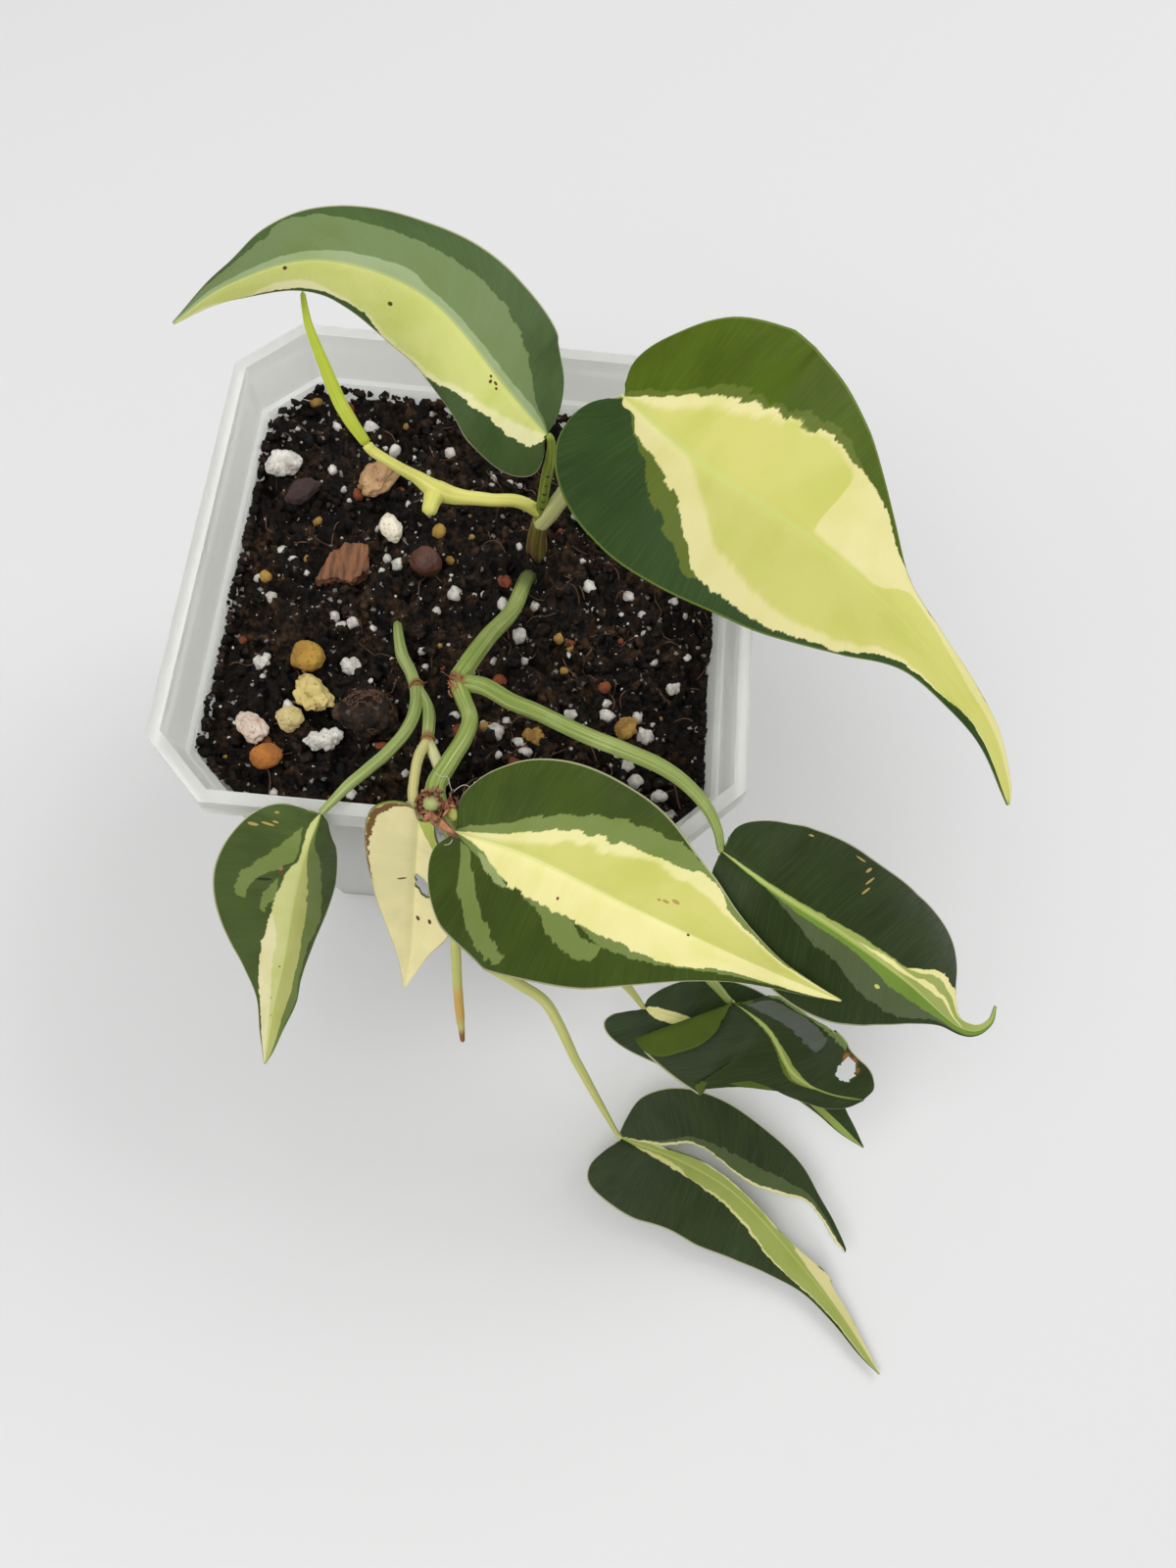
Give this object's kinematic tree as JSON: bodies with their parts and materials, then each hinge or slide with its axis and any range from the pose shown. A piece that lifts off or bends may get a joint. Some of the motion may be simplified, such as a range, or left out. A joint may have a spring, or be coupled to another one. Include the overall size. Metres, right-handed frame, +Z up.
{
  "type": "potted philodendron",
  "caption": "Small trailing philodendron with heart-shaped variegated leaves, rooted in dark potting mix in a translucent square nursery pot with cut corners.",
  "frame": {"origin": "centre of the pot's flat base, on the surface it stands on", "axes": "+Z up through the pot, -Y towards the side where the stems hang over the rim, +X towards the side the largest leaf reaches over"},
  "size_m": [0.1509, 0.1769, 0.1358],
  "materials": {
    "pot_plastic": "satin",
    "potting_mix": "matte",
    "bark": "matte",
    "baked_clay": "matte",
    "pumice": "matte",
    "perlite": "matte",
    "gravel": "matte",
    "stem": "satin",
    "root": "satin",
    "dry_husk": "matte",
    "leaf": "satin"
  },
  "bodies": {
    "root": {"pot": "pot_plastic", "soil": "potting_mix", "bark_chip": "bark", "dark_bark": "bark", "coir_lump": "bark", "clay_ball": "baked_clay", "tan_pumice": "pumice", "pink_pumice": "pumice", "white_perlite": "perlite", "perlite_back_left": "perlite", "long_perlite": "perlite", "mustard_stone": "gravel", "pale_stone": "gravel", "beige_stone": "gravel", "orange_stone": "gravel", "vine": "stem", "left_stem": "stem", "back_shoot": "stem", "new_sheath": "stem", "aerial_root": "root", "dry_sheath": "dry_husk", "leaf_1": "leaf", "leaf_2": "leaf", "leaf_3": "leaf", "leaf_4": "leaf", "leaf_5": "leaf", "leaf_6": "leaf", "leaf_7": "leaf", "leaf_8": "leaf", "leaf_9": "leaf"}
  },
  "joints": []
}
